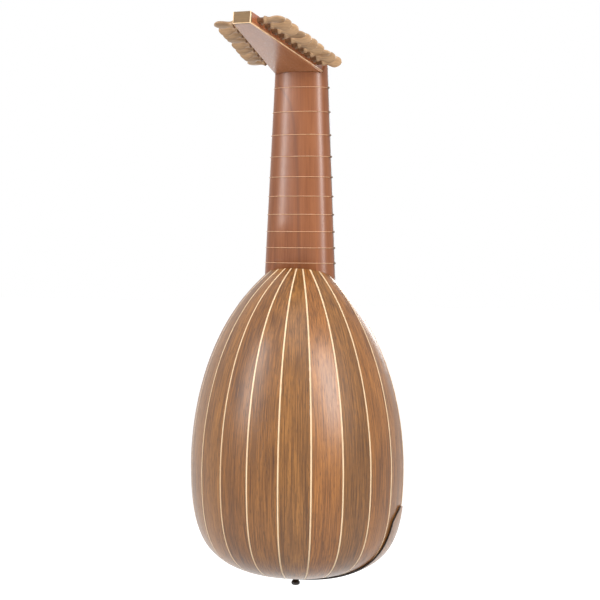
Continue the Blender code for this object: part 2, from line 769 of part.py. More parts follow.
def make_peg(name, side, along, turn, material):
    """A tapered shaft through both cheeks, a collar, and a flat rounded head to turn it by."""
    far = -(2 * box_half(along) + PEG_TIP_OUT)
    collar, end = PEG_COLLAR_OUT, PEG_TOTAL_OUT
    head = end - collar - 0.0040
    wide, thick = PEG_HEAD_HALF_WIDTH, PEG_HEAD_HALF_THICKNESS
    sections = [
        (far, PEG_TIP_RADIUS, PEG_TIP_RADIUS),
        (collar - 0.0008, PEG_SHAFT_RADIUS, PEG_SHAFT_RADIUS),
        (collar, PEG_COLLAR_RADIUS, PEG_COLLAR_RADIUS),
        (collar + 0.0018, PEG_COLLAR_RADIUS, PEG_COLLAR_RADIUS),
        (collar + 0.0040, PEG_SHAFT_RADIUS, PEG_SHAFT_RADIUS),
        (end - head * 0.80, wide * 0.62, thick),
        (end - head * 0.55, wide, thick * 0.95),
        (end - head * 0.30, wide * 0.97, thick * 0.90),
        (end - head * 0.10, wide * 0.68, thick * 0.75),
        (end, wide * 0.28, thick * 0.40),
    ]
    lean, rings = math.radians(turn), []
    for out, broad, narrow in sections:
        ring = []
        for index in range(PEG_SIDES):
            angle = 2 * math.pi * (index + 0.5) / PEG_SIDES
            across, over = broad * math.cos(angle), narrow * math.sin(angle)
            y = across * math.cos(lean) - over * math.sin(lean)
            z = across * math.sin(lean) + over * math.cos(lean)
            ring.append((side * out, y, z))
        rings.append(ring)
    return loft(name, rings, material, box_point(side * box_half(along), along, PEG_HEIGHT))


# Strings


def string_places(band_half, pair):
    """Places across of all the strings, bass to treble: nine pairs, then one single string."""
    step = 2 * band_half / (COURSES - 1)
    places = []
    for course in range(COURSES - 1):
        middle = -band_half + course * step
        places += [middle - pair / 2, middle + pair / 2]
    return places + [band_half]


def make_strings(material):
    """All the strings with the tails that lie along the bridge and tie them to each other."""
    half = STRING_THICKNESS / 2
    at_bridge = string_places(BRIDGE_BAND_HALF, BRIDGE_PAIR)
    at_nut = string_places(NUT_BAND_HALF, NUT_PAIR)
    bass = sorted(along for _, side, along, _ in peg_places() if side < 0)
    treble = sorted(along for _, side, along, _ in peg_places() if side > 0)
    pegs = bass + treble[::-1]
    front = -BRIDGE_ACTION
    low, high = -STRING_LENGTH + GAP, -STRING_LENGTH + GAP + STRING_THICKNESS
    points, faces = [], []
    for x in [place + shift for place in at_bridge for shift in (-half, half)]:
        corners = ((front - half, low), (front + half, low), (front + half, high), (front - half, high))
        points += [(x, y, z) for y, z in corners]
    breaks = len(points) // 4
    faces += [[0, 1, 2, 3], [len(points) - 4 + corner for corner in range(4)]]
    for index in range(breaks - 1):
        one, two = index * 4, index * 4 + 4
        between = index % 2 == 1
        for corner, side in ((0, 1), (1, 2), (2, 3), (3, 0)):
            if (corner, side) != (2, 3) or between:
                faces.append([one + corner, one + side, two + side, two + corner])
    nut_front = -NUT_RISE - GAP - half
    nut_top = GAP + NUT_LENGTH + GAP
    for number, (x, along) in enumerate(zip(at_nut, pegs)):
        inside = (box_half(along) - CHEEK_THICKNESS) / NUT_BAND_HALF
        end_x = x * min(inside * 0.74, 1.0)
        top = PEG_HEIGHT + PEG_SHAFT_RADIUS + GAP
        rings = [
            ((nut_front - half, 0.0), (nut_front + half, 0.0)),
            ((nut_front - half, nut_top + 2 * half), (nut_front + half, nut_top)),
            ((NUT_SEAT, nut_top + 2 * half), (NUT_SEAT, nut_top)),
        ]
        last = [box_point(end_x, along, top + 2 * half), box_point(end_x, along, top)]
        rings.append([(point.y, point.z) for point in last])
        base = number * 8
        before = [base + 3, base + 2, base + 6, base + 7]
        for place, (outer, inner) in zip((x, x, x, end_x), rings):
            start = len(points)
            points += [(place - half, *outer), (place - half, *inner)]
            points += [(place + half, *inner), (place + half, *outer)]
            now = list(range(start, start + 4))
            for corner in range(4):
                side = (corner + 1) % 4
                faces.append([before[corner], before[side], now[side], now[corner]])
            before = now
        faces.append(before)
    return mesh_piece("strings", points, faces, material)


def build():
    clear_scene()
    lute = bpy.data.objects.new("lute", None)
    bpy.context.scene.collection.objects.link(lute)
    lute.location = -hanger_point()

    walnut = make_material("walnut", (0.36, 0.21, 0.11), 0.42)
    holly = make_material("holly", (0.86, 0.70, 0.50), 0.45)
    pear = make_material("pear wood", (0.42, 0.19, 0.10), 0.35)
    plum = make_material("plum wood", (0.30, 0.13, 0.07), 0.40)
    olive = make_material("olive wood", (0.40, 0.28, 0.16), 0.45)
    boxwood = make_material("boxwood", (0.72, 0.52, 0.33), 0.45)
    ebony = make_material("ebony", (0.025, 0.018, 0.015), 0.35)
    spruce = make_material("spruce", (0.78, 0.58, 0.34), 0.55)
    bone = make_material("bone", (0.86, 0.80, 0.66), 0.35)
    gut = make_material("gut", (0.80, 0.68, 0.46), 0.40)

    make_neck(pear)
    make_fingerboard(ebony)
    make_nut(bone)
    for number in range(1, FRETS + 1):
        make_fret(number, gut)

    make_ribs(walnut)
    make_spacers(holly)
    make_neck_block(spruce)
    make_end_block(spruce)
    make_clasp(walnut)
    make_button(ebony)

    make_soundboard(spruce)
    make_rose(spruce)
    make_bars(spruce)
    make_bridge(plum)

    make_back_plate(pear)
    make_end_cap(olive)
    cutter = make_peg_cutter()
    make_cheek("bass_cheek", -1, cutter, pear)
    make_cheek("treble_cheek", 1, cutter, pear)
    for name, side, along, turn in peg_places():
        make_peg(name, side, along, turn, boxwood)
    make_strings(gut)


build()
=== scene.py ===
# %% [markdown]
# # A ten-course lute, seen from behind
#
# The solids of this lute come as a fixed frame. This lesson dresses them: the ribs get their walnut, the
# pegs their rounded heads, and small things that the frame leaves out are modelled, such as the fret
# knots, the windings on the pegs and the pale edging of the pegbox. Everything is in metres, in the
# frame's own place. A new piece rides on one of the frame's bodies, and so it moves with it.

# %% Load the frame
import json
import math

import bmesh
import bpy
from mathutils import Matrix, Vector

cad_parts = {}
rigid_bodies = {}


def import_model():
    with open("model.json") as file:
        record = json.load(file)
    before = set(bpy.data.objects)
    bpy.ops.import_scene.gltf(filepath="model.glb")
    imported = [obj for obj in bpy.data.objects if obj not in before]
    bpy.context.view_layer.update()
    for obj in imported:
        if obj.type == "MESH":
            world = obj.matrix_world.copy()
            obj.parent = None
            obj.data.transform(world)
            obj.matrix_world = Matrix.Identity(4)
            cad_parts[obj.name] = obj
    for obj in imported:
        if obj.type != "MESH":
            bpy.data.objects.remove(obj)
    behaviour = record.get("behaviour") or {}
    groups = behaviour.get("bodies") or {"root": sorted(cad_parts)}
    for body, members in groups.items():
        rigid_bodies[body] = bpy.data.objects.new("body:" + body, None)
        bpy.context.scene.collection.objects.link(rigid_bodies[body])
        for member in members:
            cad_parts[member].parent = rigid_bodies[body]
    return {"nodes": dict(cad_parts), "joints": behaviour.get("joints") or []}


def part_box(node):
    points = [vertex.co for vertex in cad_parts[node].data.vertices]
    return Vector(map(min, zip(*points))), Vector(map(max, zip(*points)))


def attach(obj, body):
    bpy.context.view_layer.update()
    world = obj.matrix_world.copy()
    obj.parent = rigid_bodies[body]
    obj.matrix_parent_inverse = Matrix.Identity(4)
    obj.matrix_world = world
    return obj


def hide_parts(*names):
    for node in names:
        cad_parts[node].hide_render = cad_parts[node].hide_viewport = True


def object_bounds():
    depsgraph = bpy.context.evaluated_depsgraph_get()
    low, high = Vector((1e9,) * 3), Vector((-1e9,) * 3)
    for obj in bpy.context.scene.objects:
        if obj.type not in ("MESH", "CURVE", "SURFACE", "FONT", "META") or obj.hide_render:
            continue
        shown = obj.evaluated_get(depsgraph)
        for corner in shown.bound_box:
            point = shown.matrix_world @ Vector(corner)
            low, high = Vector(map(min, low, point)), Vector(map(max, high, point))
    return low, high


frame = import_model()
cad_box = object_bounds()
BODY = "lute_body"

# %% [markdown]
# ## The lute's own places
#
# A lute maker measures from the nut and from the soundboard's front. The frame gives both: the
# fingerboard ends at the nut, and the soundboard's front face is the plane that the bowl is built on. The
# bowl's ribs all fan out from one axis that lies in that plane, so angles round this axis tell the ribs
# apart. Reading these places from the frame, instead of writing them again, keeps the finish in place
# when a size changes.

# %% Places read from the frame
BOARD_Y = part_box("soundboard")[0].y
NUT_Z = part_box("fingerboard")[1].z
JOINT_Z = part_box("soundboard")[1].z
END_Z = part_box("soundboard")[0].z
BOWL_HALF_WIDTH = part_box("soundboard")[1].x
RIBS = 11
FRETS = 10
PEGS = len(frame["joints"])
MILLIMETRES = 1000
print(f"body {2 * BOWL_HALF_WIDTH * MILLIMETRES:.0f} mm wide")
print(f"neck {(NUT_Z - JOINT_Z) * MILLIMETRES:.0f} mm long, {PEGS} pegs")

# %% [markdown]
# ## The camera
#
# The photograph looks at the lute's back from a little to the bass side, and from just above the middle.
# The distance matters as much as the angle, because it decides how much the round bowl swells towards the
# lens. The camera is aimed at the lute's axis and rolled by half a degree, as the lute leans a little in
# the picture. It could be placed by eye, but an angle and a distance can be checked against the
# photograph.

# %% Camera
VIEW_AZIMUTH = math.radians(198.36)
VIEW_ELEVATION = math.radians(2.464)
VIEW_ROLL = math.radians(0.503)
VIEW_DISTANCE = 1.7271
AIM_BELOW_NUT = 0.3285
LENS = 74.03

away = Vector((
    math.sin(VIEW_AZIMUTH) * math.cos(VIEW_ELEVATION),
    -math.cos(VIEW_AZIMUTH) * math.cos(VIEW_ELEVATION),
    math.sin(VIEW_ELEVATION),
))
aim = Vector((0, BOARD_Y, NUT_Z - AIM_BELOW_NUT))
bpy.ops.object.camera_add(location=aim + away * VIEW_DISTANCE)
camera = bpy.context.object
camera.name = "camera"
camera.data.lens = LENS
camera.rotation_mode = "QUATERNION"
roll = Matrix.Rotation(VIEW_ROLL, 3, "Z").to_quaternion()
camera.rotation_quaternion = (-away).to_track_quat("-Z", "Y") @ roll
bpy.context.scene.camera = camera
print("camera", round(VIEW_DISTANCE, 2), "m from the axis")

# %% [markdown]
# ## Helpers for the modelling
#
# The operators of Blender act on what is selected, so each step starts from an empty selection. The
# solids of the frame are made of flat facets. For a rounded piece, a copy of the solid has its triangles
# joined back to four-sided faces, its sharp edges creased, and is then subdivided: the creases stay crisp
# and the rest becomes round, while the size stays that of the solid. Modelling the piece anew would also
# give a round shape, but it would drift away from the solid that it stands for.

# %% Selection and copying
MERGE_WITHIN = 0.00001
FLAT_ENOUGH = math.radians(38)
SQUARE_ENOUGH = math.radians(60)


def only(obj):
    """Selects one object and nothing else."""
    bpy.ops.object.select_all(action="DESELECT")
    obj.select_set(True)
    bpy.context.view_layer.objects.active = obj


def crease_sharp_edges(obj, degrees):
    """Keeps the edges crisp at which two faces meet at more than an angle."""
    mesh = bmesh.new()
    mesh.from_mesh(obj.data)
    layers = mesh.edges.layers.float
    crease = layers.get("crease_edge") or layers.new("crease_edge")
    for edge in mesh.edges:
        is_sharp = edge.calc_face_angle(math.pi) > math.radians(degrees)
        edge[crease] = 1.0 if is_sharp else 0.0
    mesh.to_mesh(obj.data)
    mesh.free()


def rounded_copy(node, levels=2, sharp=40, body=BODY):
    """A smooth piece in the place of a faceted solid, which it replaces."""
    solid = frame["nodes"][node]
    piece = bpy.data.objects.new(f"{node}_finished", solid.data.copy())
    bpy.context.scene.collection.objects.link(piece)
    piece.data.materials.clear()
    only(piece)
    bpy.ops.object.mode_set(mode="EDIT")
    bpy.ops.mesh.select_all(action="SELECT")
    bpy.ops.mesh.remove_doubles(threshold=MERGE_WITHIN)
    bpy.ops.mesh.tris_convert_to_quads(face_threshold=FLAT_ENOUGH, shape_threshold=SQUARE_ENOUGH)
    bpy.ops.object.mode_set(mode="OBJECT")
    crease_sharp_edges(piece, sharp)
    subdivide = piece.modifiers.new("rounding", "SUBSURF")
    subdivide.levels = levels
    subdivide.render_levels = levels
    bpy.ops.object.modifier_apply(modifier=subdivide.name)
    bpy.ops.object.shade_smooth_by_angle(angle=math.radians(sharp))
    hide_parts(node)
    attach(piece, body)
    return piece


# %% Placing a primitive and finishing it
def start_piece(name):
    """Names the primitive that was just added, and its mesh."""
    piece = bpy.context.object
    piece.name = name
    piece.data.name = name
    return piece


def settle(piece, place=Matrix.Identity(4)):
    """Moves a piece's shape into place, so that the object itself stays at the origin."""
    piece.data.transform(place @ piece.matrix_world)
    piece.matrix_world = Matrix.Identity(4)
    return piece


def soften_edges(piece, width):
    bevel = piece.modifiers.new("soft edges", "BEVEL")
    bevel.width = width
    bevel.segments = 2
    bevel.limit_method = "ANGLE"
    only(piece)
    bpy.ops.object.modifier_apply(modifier=bevel.name)
    bpy.ops.object.shade_smooth_by_angle(angle=math.radians(40))


def remember_grain(piece, place_of):
    """Stores for each point where it lies across, under and along the grain, in metres."""
    values = []
    for vertex in piece.data.vertices:
        values += place_of(vertex.co)
    points = piece.data.attributes.new("grain", "FLOAT_VECTOR", "POINT")
    points.data.foreach_set("vector", values)


print("helpers ready")

# %% [markdown]
# ## Wood as a node group
#
# Every wood on the lute shares the same build: broad bands of colour, fine streaks along the grain, and
# short dark pores. Only the colours and the strengths differ. So the pattern is a node group with named
# inputs, and is not drawn anew in each material. It is given a place measured across, under and along the
# grain. It stretches its noises along the last of these, which turns round spots into long fibres.

# %% Small helpers for node trees
def link_math(tree, operation, first, second):
    """A calculation with two sockets or numbers."""
    node = tree.nodes.new("ShaderNodeMath")
    node.operation = operation
    for socket, value in zip(node.inputs, (first, second)):
        if isinstance(value, (int, float)):
            socket.default_value = value
        else:
            tree.links.new(value, socket)
    return node.outputs[0]


def stretched_noise(tree, vector, scale, detail, distortion=0.0):
    """Noise with its own number of waves per metre along each axis."""
    stretch = tree.nodes.new("ShaderNodeVectorMath")
    stretch.operation = "MULTIPLY"
    stretch.inputs[1].default_value = scale
    tree.links.new(vector, stretch.inputs[0])
    noise = tree.nodes.new("ShaderNodeTexNoise")
    noise.inputs["Scale"].default_value = 1.0
    noise.inputs["Detail"].default_value = detail
    noise.inputs["Distortion"].default_value = distortion
    tree.links.new(stretch.outputs[0], noise.inputs["Vector"])
    return noise.outputs["Fac"]


def ranged(tree, value, low, high, to_low=0.0, to_high=1.0):
    """Stretches a value from one range to another, and stops at its ends."""
    node = tree.nodes.new("ShaderNodeMapRange")
    node.inputs["From Min"].default_value = low
    node.inputs["From Max"].default_value = high
    node.inputs["To Min"].default_value = to_low
    node.inputs["To Max"].default_value = to_high
    tree.links.new(value, node.inputs["Value"])
    return node.outputs["Result"]


MIX_FACTOR = 0
MIX_NUMBERS = (2, 3)
MIX_COLOURS = (6, 7)


def mixed_colour(tree, factor, first, second):
    """The first colour at factor 0 and the second at factor 1, each a socket or a plain colour."""
    node = tree.nodes.new("ShaderNodeMix")
    node.data_type = "RGBA"
    places = (MIX_FACTOR, *MIX_COLOURS)
    for place, value in zip(places, (factor, first, second)):
        socket = node.inputs[place]
        if isinstance(value, (int, float)):
            socket.default_value = value
        elif isinstance(value, tuple):
            socket.default_value = (*value, 1.0)
        else:
            tree.links.new(value, socket)
    return node.outputs[2]


# %% The wood group
PORE_BROWN = (0.02, 0.012, 0.008)
WOOD_INPUTS = {
    "Grain place": "NodeSocketVector",
    "Pale": "NodeSocketColor",
    "Deep": "NodeSocketColor",
    "Streaks": "NodeSocketFloat",
    "Pores": "NodeSocketFloat",
    "Gloss": "NodeSocketFloat",
}
WOOD_OUTPUTS = {
    "Colour": "NodeSocketColor",
    "Roughness": "NodeSocketFloat",
    "Height": "NodeSocketFloat",
}


def build_wood_group():
    tree = bpy.data.node_groups.new("wood", "ShaderNodeTree")
    for name, kind in WOOD_INPUTS.items():
        tree.interface.new_socket(name, in_out="INPUT", socket_type=kind)
    for name, kind in WOOD_OUTPUTS.items():
        tree.interface.new_socket(name, in_out="OUTPUT", socket_type=kind)
    given = tree.nodes.new("NodeGroupInput").outputs
    result = tree.nodes.new("NodeGroupOutput").inputs
    place = given["Grain place"]
    bands = stretched_noise(tree, place, scale=(95, 95, 3.2), detail=3, distortion=0.4)
    streaks = stretched_noise(tree, place, scale=(760, 760, 15), detail=4)
    pits = stretched_noise(tree, place, scale=(1900, 1900, 95), detail=1)
    clouds = stretched_noise(tree, place, scale=(22, 22, 7), detail=2)
    pores = ranged(tree, pits, 0.56, 0.70)
    tone = link_math(tree, "ADD", ranged(tree, bands, 0.36, 0.64), ranged(tree, clouds, 0.35, 0.65))
    tone = link_math(tree, "MULTIPLY", tone, 0.5)
    line = ranged(tree, streaks, 0.36, 0.66)
    mix = tree.nodes.new("ShaderNodeMix")
    tree.links.new(given["Streaks"], mix.inputs[MIX_FACTOR])
    for place_in_mix, value in zip(MIX_NUMBERS, (tone, line)):
        tree.links.new(value, mix.inputs[place_in_mix])
    body = mixed_colour(tree, mix.outputs[0], given["Deep"], given["Pale"])
    shade = link_math(tree, "MULTIPLY", pores, given["Pores"])
    dark = mixed_colour(tree, 0.85, given["Deep"], PORE_BROWN)
    tree.links.new(mixed_colour(tree, shade, body, dark), result["Colour"])
    rough = link_math(tree, "ADD", given["Gloss"], link_math(tree, "MULTIPLY", shade, 0.25))
    rough = link_math(tree, "ADD", rough, ranged(tree, clouds, 0.3, 0.7, -0.03, 0.03))
    tree.links.new(rough, result["Roughness"])
    height = link_math(tree, "SUBTRACT", link_math(tree, "MULTIPLY", line, 0.35), shade)
    tree.links.new(height, result["Height"])
    return tree


WOOD = build_wood_group()
print("wood group with", len(WOOD.nodes), "nodes")

# %% [markdown]
# ## One material for each finish
#
# A material places the wood group, tells it where the grain runs, and feeds the shader. Pieces that bend,
# such as the ribs, carry their grain as a stored attribute. Straight pieces read their Object
# coordinates, turned so that the grain runs along the piece. A thin varnish coat lies on top. Pictures of
# wood would be quicker, but they stretch over a round bowl, and nodes don't.

# %% Material builder
SURFACE_REFLECTION = 0.35
VARNISH_ROUGHNESS = 0.30
QUARTER = math.radians(90)
GRAIN_TURNS = {"X": (0, QUARTER, 0), "Y": (QUARTER, 0, 0), "Z": (0, 0, 0)}


def wood_material(name, pale, deep, streaks=0.6, pores=0.5, gloss=0.35, coat=0.12, along="Z",
                  stored=False, bump=0.00006):
    """A wood from its two colours, with its grain along an axis or along a stored place."""
    material = bpy.data.materials.new(name)
    material.use_nodes = True
    tree = material.node_tree
    shader = tree.nodes["Principled BSDF"]
    if stored:
        source = tree.nodes.new("ShaderNodeAttribute")
        source.attribute_name = "grain"
        place = source.outputs["Vector"]
    else:
        source = tree.nodes.new("ShaderNodeTexCoord")
        turn = tree.nodes.new("ShaderNodeMapping")
        turn.inputs["Rotation"].default_value = GRAIN_TURNS[along]
        tree.links.new(source.outputs["Object"], turn.inputs["Vector"])
        place = turn.outputs["Vector"]
    wood = tree.nodes.new("ShaderNodeGroup")
    wood.node_tree = WOOD
    wood.inputs["Pale"].default_value = (*pale, 1)
    wood.inputs["Deep"].default_value = (*deep, 1)
    wood.inputs["Streaks"].default_value = streaks
    wood.inputs["Pores"].default_value = pores
    wood.inputs["Gloss"].default_value = gloss
    tree.links.new(place, wood.inputs["Grain place"])
    raised = tree.nodes.new("ShaderNodeBump")
    raised.inputs["Distance"].default_value = bump
    tree.links.new(wood.outputs["Height"], raised.inputs["Height"])
    tree.links.new(wood.outputs["Colour"], shader.inputs["Base Color"])
    tree.links.new(wood.outputs["Roughness"], shader.inputs["Roughness"])
    tree.links.new(raised.outputs["Normal"], shader.inputs["Normal"])
    shader.inputs["Specular IOR Level"].default_value = SURFACE_REFLECTION
    shader.inputs["Coat Weight"].default_value = coat
    shader.inputs["Coat Roughness"].default_value = VARNISH_ROUGHNESS
    return material


def give(piece, material):
    """Covers a piece with one material."""
    piece.data.materials.clear()
    piece.data.materials.append(material)


# %% [markdown]
# ## The ribs
#
# The bowl is a shell of eleven thin walnut ribs, bent over a mould. Walnut is streaky and full of pores,
# and no two ribs come from the same spot of the tree, so each rib has its own tones. The grain follows
# the rib: the place across the grain is the angle from the rib's middle, turned into a distance. A
# straight grain would be simpler, but it would cut across the ribs near both ends of the bowl.

# %% Ribs
RIB_TONES = (1.05, 0.92, 1.08, 1.12, 0.88, 0.96, 1.0, 1.1, 0.9, 1.04, 1.1)
RIB_WARMTH = (1.0, 1.06, 0.95, 0.97, 1.03, 1.0, 0.96, 1.05, 0.97, 1.04, 1.0)
WALNUT_PALE = (0.385, 0.160, 0.040)
WALNUT_DEEP = (0.095, 0.034, 0.009)
NEXT_PLANK = 0.37
UNDER_GRAIN_SHARE = 0.1


def toned(colour, tone, warmth):
    """The same colour, lighter by its tone and redder by its warmth."""
    red, green, blue = colour
    return (red * tone * warmth, green * tone, blue * tone / warmth)


def grain_round_axis(middle, shift):
    """Places the grain round the bowl's axis, from a middle angle, on another part of the plank."""
    def place(point):
        distance = math.hypot(point.x, point.y - BOARD_Y)
        angle = math.atan2(point.y - BOARD_Y, point.x)
        return ((angle - middle) * distance + shift, distance * UNDER_GRAIN_SHARE + shift, point.z)
    return place


for number in range(RIBS):
    rib = rounded_copy(f"rib_{number + 1:02d}")
    remember_grain(rib, grain_round_axis((number + 0.5) * math.pi / RIBS, NEXT_PLANK * number))
    pale = toned(WALNUT_PALE, RIB_TONES[number], RIB_WARMTH[number])
    deep = toned(WALNUT_DEEP, RIB_TONES[number], RIB_WARMTH[number])
    walnut = wood_material(f"walnut rib {number + 1}", pale, deep, streaks=0.66, pores=0.6,
                           gloss=0.34, coat=0.32, stored=True)
    give(rib, walnut)
print("ribs:", RIBS, "each with", len(rib.data.polygons), "faces")

# %% [markdown]
# ## The pale lines between the ribs
#
# Thin strips of holly stand between the ribs and are planed flush with them. They meet in a small fan at
# the bowl's end. They could be painted on the ribs as a pattern, but real strips keep their width where
# the ribs grow narrow. Their grain is hardly seen, so the wood group is used with hardly any pores.

# %% Spacers
spacers = rounded_copy("rib_spacers", levels=1)
holly = wood_material("holly lines", (0.93, 0.70, 0.45), (0.74, 0.50, 0.29), streaks=0.5,
                      pores=0.08, gloss=0.34)
give(spacers, holly)
print("spacers:", len(spacers.data.polygons), "faces")

# %% [markdown]
# ## The end clasp and its dark line
#
# A wide strip of the same walnut wraps the lower end and carries a dark inlaid line along its upper edge.
# The line could be a strip of its own, but then its thin edge would have to follow the round bowl. Here
# the clasp's outer face is inset twice. The narrow ring of faces between the two insets, and the clasp's
# narrow edge, take the dark wood wherever they are clear of the soundboard.

# %% Clasp
LINE_FROM_EDGE = 0.0004
LINE_WIDTH = 0.0012
LINE_CLEAR_OF_BOARD = 0.012
BEND_ABOVE_END = 0.18
FACING_OUT = 0.6
SAME_PLANK = 5.0
CLASP_TONE = 1.05


def turned_out(face):
    """1 for a face that looks straight out of the bowl, 0 for one on edge, -1 for one that looks in."""
    drop = min(face.center.z - END_Z - BEND_ABOVE_END, 0)
    out = Vector((face.center.x, face.center.y - BOARD_Y, drop))
    return face.normal.dot(out.normalized())


# %% Select and inset the clasp's outer face
clasp = rounded_copy("end_clasp", levels=2)
only(clasp)
bpy.ops.object.mode_set(mode="EDIT")
bpy.ops.mesh.select_all(action="DESELECT")
bpy.ops.object.mode_set(mode="OBJECT")
for face in clasp.data.polygons:
    face.select = turned_out(face) > FACING_OUT
bpy.ops.object.mode_set(mode="EDIT")
bpy.ops.mesh.inset(thickness=LINE_FROM_EDGE, use_boundary=True, use_even_offset=True)
bpy.ops.mesh.inset(thickness=LINE_WIDTH, use_boundary=True, use_even_offset=True)
bpy.ops.object.mode_set(mode="OBJECT")
inside_the_line = {face.index for face in clasp.data.polygons if face.select}
bpy.ops.object.mode_set(mode="EDIT")
bpy.ops.mesh.select_more(use_face_step=True)
bpy.ops.object.mode_set(mode="OBJECT")
print("clasp:", len(inside_the_line), "faces inside the line")

# %% Walnut for the clasp, dark wood for its line
remember_grain(clasp, grain_round_axis(0.0, SAME_PLANK))
clasp_walnut = wood_material("clasp walnut", toned(WALNUT_PALE, CLASP_TONE, 1.0),
                             toned(WALNUT_DEEP, CLASP_TONE, 1.0), gloss=0.34, coat=0.32, stored=True)
line_wood = wood_material("dark line", (0.05, 0.03, 0.02), (0.015, 0.01, 0.008), gloss=0.4)
give(clasp, clasp_walnut)
clasp.data.materials.append(line_wood)
line_faces = 0
for face in clasp.data.polygons:
    in_the_ring = face.select and face.index not in inside_the_line
    on_edge = abs(turned_out(face)) < FACING_OUT
    clear = face.center.y - BOARD_Y > LINE_CLEAR_OF_BOARD
    if clear and (in_the_ring or on_edge):
        face.material_index = 1
        line_faces += 1
print("clasp:", line_faces, "faces in the dark line")

# %% [markdown]
# ## The neck
#
# The neck is one piece of a reddish fruit wood, polished smooth by the player's thumb, so it shines more
# than the bowl. It keeps the solid's shape, but rounded. Its back shows one darker line of grain that
# bends away to the side near the top. A noise can't be told to bend just so, so the line follows a curve:
# for each place along the neck it gives a place across, and the wood is darker near it.

# %% Neck
neck = rounded_copy("neck", levels=2, sharp=30)
pear = wood_material("neck wood", (0.31, 0.112, 0.042), (0.185, 0.056, 0.018), streaks=0.35,
                     pores=0.12, gloss=0.33, coat=0.16, bump=0.00002)

# %% The bent grain line
LINE_STARTS_BELOW_NUT = 0.03
LINE_ENDS_BELOW_NUT = 0.30
LINE_FIRST = (0.0, 0.98)
LINE_BENDS = ((0.06, 0.78), (0.14, 0.60), (0.30, 0.50), (0.60, 0.42))
LINE_LAST = (1.0, 0.38)
LINE_REACH = 0.03
LINE_WOBBLE = 0.003
LINE_FADE = 0.0035
LINE_DARKNESS = 0.75
LINE_BROWN = (0.16, 0.055, 0.025)
NECK_BACK = (0.012, 0.020)


def object_place(tree):
    """The place on the object, in metres."""
    return tree.nodes.new("ShaderNodeTexCoord").outputs["Object"]


def axes_of(tree, place):
    """The three axes of a place, apart."""
    axes = tree.nodes.new("ShaderNodeSeparateXYZ")
    tree.links.new(place, axes.inputs[0])
    return axes.outputs


def add_bent_grain_line(material):
    """Darkens a narrow band whose place across the neck is a curve along it."""
    tree = material.node_tree
    shader = tree.nodes["Principled BSDF"]
    colour = shader.inputs["Base Color"].links[0].from_socket
    place = object_place(tree)
    axes = axes_of(tree, place)
    drop = ranged(tree, axes["Z"], NUT_Z - LINE_STARTS_BELOW_NUT, NUT_Z - LINE_ENDS_BELOW_NUT)
    bend = tree.nodes.new("ShaderNodeFloatCurve")
    curve = bend.mapping.curves[0]
    for along, across in LINE_BENDS:
        curve.points.new(along, across)
    curve.points[0].location = LINE_FIRST
    curve.points[-1].location = LINE_LAST
    bend.mapping.update()
    tree.links.new(drop, bend.inputs["Value"])
    line_x = ranged(tree, bend.outputs["Value"], 0.0, 1.0, -LINE_REACH, LINE_REACH)
    wobble = stretched_noise(tree, place, scale=(60, 60, 14), detail=2)
    wobble = ranged(tree, wobble, 0.0, 1.0, -LINE_WOBBLE, LINE_WOBBLE)
    line_x = link_math(tree, "ADD", line_x, wobble)
    aside = link_math(tree, "SUBTRACT", axes["X"], line_x)
    distance = link_math(tree, "ABSOLUTE", aside, 0.0)
    band = ranged(tree, distance, 0.0, LINE_FADE, LINE_DARKNESS, 0.0)
    back = ranged(tree, axes["Y"], BOARD_Y + NECK_BACK[0], BOARD_Y + NECK_BACK[1])
    shade = link_math(tree, "MULTIPLY", band, back)
    tree.links.new(mixed_colour(tree, shade, colour, LINE_BROWN), shader.inputs["Base Color"])


add_bent_grain_line(pear)
give(neck, pear)
print("neck:", len(neck.data.polygons), "faces")

# %% [markdown]
# ## Fingerboard, nut and soundboard
#
# Fingerboard and soundboard are flat boards that the solids already show as they are, so they keep their
# shape and only get their woods. The nut is rounded a little. Spruce for the soundboard is split so that
# its growth rings stand as fine, even lines along the lute. A wave texture gives such even lines better
# than a noise.

# %% Boards
RING_SPACING = 0.0016
RING_STRENGTH = 0.55
RING_BROWN = (0.42, 0.20, 0.07)
ALONG_RINGS = 0.02
WAVE_AT_SCALE_ONE = 0.314
BARS = 4

ebony = wood_material("ebony", (0.040, 0.028, 0.022), (0.012, 0.009, 0.008), streaks=0.7,
                      pores=0.2, gloss=0.3)
give(frame["nodes"]["fingerboard"], ebony)


def add_growth_rings(material):
    """Darkens even, slightly wavy lines that run along the board."""
    tree = material.node_tree
    shader = tree.nodes["Principled BSDF"]
    colour = shader.inputs["Base Color"].links[0].from_socket
    place = object_place(tree)
    wave = tree.nodes.new("ShaderNodeTexWave")
    wave.bands_direction = "X"
    wave.inputs["Scale"].default_value = WAVE_AT_SCALE_ONE / RING_SPACING
    wave.inputs["Distortion"].default_value = 0.6
    wave.inputs["Detail"].default_value = 1.0
    wave.inputs["Detail Scale"].default_value = 0.3
    stretch = tree.nodes.new("ShaderNodeMapping")
    stretch.inputs["Scale"].default_value = (1, 1, ALONG_RINGS)
    tree.links.new(place, stretch.inputs["Vector"])
    tree.links.new(stretch.outputs["Vector"], wave.inputs["Vector"])
    lines = ranged(tree, wave.outputs["Fac"], 0.55, 1.0, 0.0, RING_STRENGTH)
    tree.links.new(mixed_colour(tree, lines, colour, RING_BROWN), shader.inputs["Base Color"])


